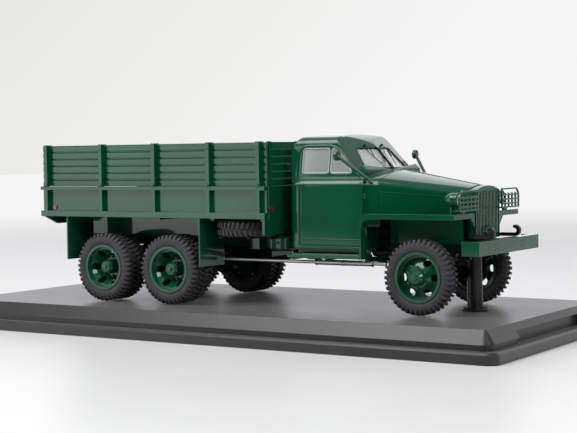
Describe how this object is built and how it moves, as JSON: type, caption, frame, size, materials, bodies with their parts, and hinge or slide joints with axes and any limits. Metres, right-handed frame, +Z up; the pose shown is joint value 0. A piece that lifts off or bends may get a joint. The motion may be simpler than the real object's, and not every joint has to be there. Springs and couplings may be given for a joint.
{
  "type": "scale model of a six-wheel military cargo truck on a plinth",
  "caption": "Display model of a bonneted military cargo truck with a slatted load bed, lugged tyres that turn, and a stepped black plinth.",
  "frame": {"origin": "middle of the plinth's underside", "axes": "+X towards the truck's front, +Y to its left, +Z up"},
  "size_m": [0.195, 0.088, 0.06],
  "materials": {
    "truck_green": "glossy dark green enamel",
    "chassis_green": "satin dark green enamel",
    "plinth_black": "satin black moulded plastic",
    "tyre_black": "matt grey-black rubber",
    "hook_black": "black plastic",
    "engine_grey": "dull dark grey-green",
    "exhaust_silver": "silver paint",
    "clear_glass": "clear moulded plastic",
    "lamp_glass": "clear lens with a silvered back",
    "reflector_red": "red button",
    "seat_brown": "dark brown moulded seat"
  },
  "bodies": {
    "root": {"plinth": "plinth_black", "display_posts": "plinth_black", "chassis_frame": "chassis_green", "front_bumper": "truck_green", "tow_hooks": "hook_black", "front_axle": "chassis_green", "middle_axle": "chassis_green", "rear_axle": "chassis_green", "front_springs": "chassis_green", "bogie_springs": "chassis_green", "engine": "engine_grey", "radiator": "engine_grey", "gearbox": "chassis_green", "prop_shafts": "chassis_green", "exhaust": "exhaust_silver", "spare_tyre": "tyre_black", "spare_wheel": "truck_green", "spare_carrier": "chassis_green", "fuel_tank": "truck_green", "rail_box": "truck_green", "cab_shell": "truck_green", "cab_glazing": "clear_glass", "seat": "seat_brown", "dashboard": "truck_green", "steering_wheel": "hook_black", "bonnet": "truck_green", "front_wings": "truck_green", "steps": "truck_green", "radiator_grille": "truck_green", "headlight_guards": "truck_green", "headlights": "truck_green", "headlight_lenses": "lamp_glass", "mirrors": "truck_green", "wipers": "hook_black", "bed_floor": "truck_green", "bed_side_right": "truck_green", "bed_side_left": "truck_green", "rack_right": "truck_green", "rack_left": "truck_green", "bed_front": "truck_green", "tailgate": "truck_green", "mudguards": "truck_green", "reflectors": "reflector_red"},
    "front_right_wheel_set": {"front_right_wheel": "truck_green", "front_right_tyre": "tyre_black"},
    "front_left_wheel_set": {"front_left_wheel": "truck_green", "front_left_tyre": "tyre_black"},
    "middle_right_wheel_set": {"middle_right_wheel": "truck_green", "middle_right_tyre": "tyre_black"},
    "middle_left_wheel_set": {"middle_left_wheel": "truck_green", "middle_left_tyre": "tyre_black"},
    "rear_right_wheel_set": {"rear_right_wheel": "truck_green", "rear_right_tyre": "tyre_black"},
    "rear_left_wheel_set": {"rear_left_wheel": "truck_green", "rear_left_tyre": "tyre_black"}
  },
  "joints": [
    {"name": "front_right_roll", "type": "hinge", "parent": "root", "child": "front_right_wheel_set", "pos_m": [0.0636, -0.01845, 0.0194], "axis": [0, 1, 0], "continuous": true},
    {"name": "front_left_roll", "type": "hinge", "parent": "root", "child": "front_left_wheel_set", "pos_m": [0.0636, 0.01845, 0.0194], "axis": [0, 1, 0], "continuous": true},
    {"name": "middle_right_roll", "type": "hinge", "parent": "root", "child": "middle_right_wheel_set", "pos_m": [-0.0193, -0.02067, 0.0194], "axis": [0, 1, 0], "continuous": true},
    {"name": "middle_left_roll", "type": "hinge", "parent": "root", "child": "middle_left_wheel_set", "pos_m": [-0.0193, 0.02067, 0.0194], "axis": [0, 1, 0], "continuous": true},
    {"name": "rear_right_roll", "type": "hinge", "parent": "root", "child": "rear_right_wheel_set", "pos_m": [-0.0449, -0.02067, 0.0194], "axis": [0, 1, 0], "continuous": true},
    {"name": "rear_left_roll", "type": "hinge", "parent": "root", "child": "rear_left_wheel_set", "pos_m": [-0.0449, 0.02067, 0.0194], "axis": [0, 1, 0], "continuous": true}
  ]
}
